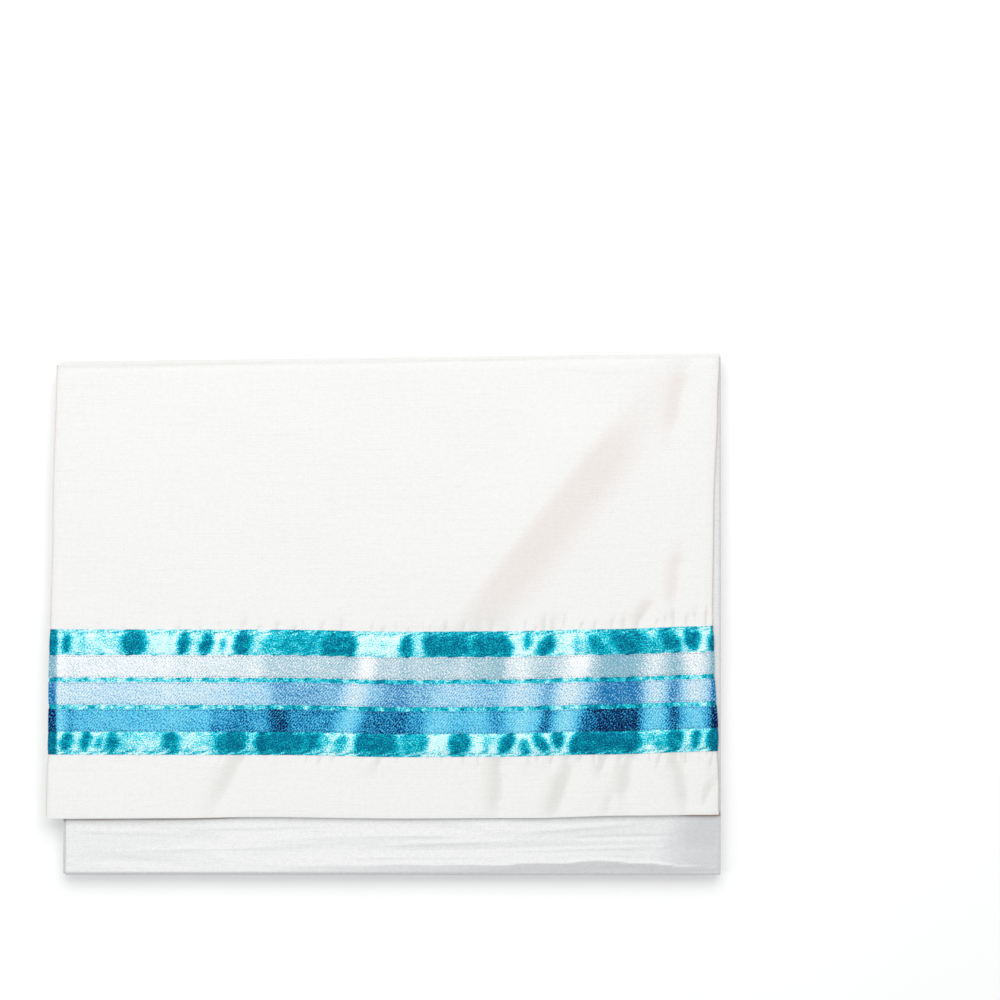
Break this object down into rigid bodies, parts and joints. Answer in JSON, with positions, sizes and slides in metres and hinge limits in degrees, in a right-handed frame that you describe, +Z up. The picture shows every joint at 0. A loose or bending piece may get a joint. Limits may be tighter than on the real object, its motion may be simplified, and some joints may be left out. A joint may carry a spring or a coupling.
{
  "type": "folded tallit prayer shawl",
  "caption": "Slubbed white prayer shawl folded flat into a rectangular bundle, with a turquoise satin band under twill ribbons across its upper panel.",
  "frame": {"origin": "on the surface that the bundle lies on, under the middle of its box", "axes": "+X along the ribbon band, +Y from the open hem to the back fold, +Z up"},
  "size_m": [0.4049, 0.3138, 0.0191],
  "materials": {
    "white_slub": "slubbed silk cloth, soft sheen",
    "turquoise_satin": "glossy satin ribbon",
    "silver_twill": "sparkling twill ribbon",
    "sky_twill": "sparkling twill ribbon",
    "royal_twill": "sparkling twill ribbon"
  },
  "bodies": {
    "root": {"shawl_cloth": "white_slub", "hidden_folds": "white_slub", "satin_band": "turquoise_satin", "silver_ribbon": "silver_twill", "sky_ribbon": "sky_twill", "royal_ribbon": "royal_twill"}
  },
  "joints": []
}
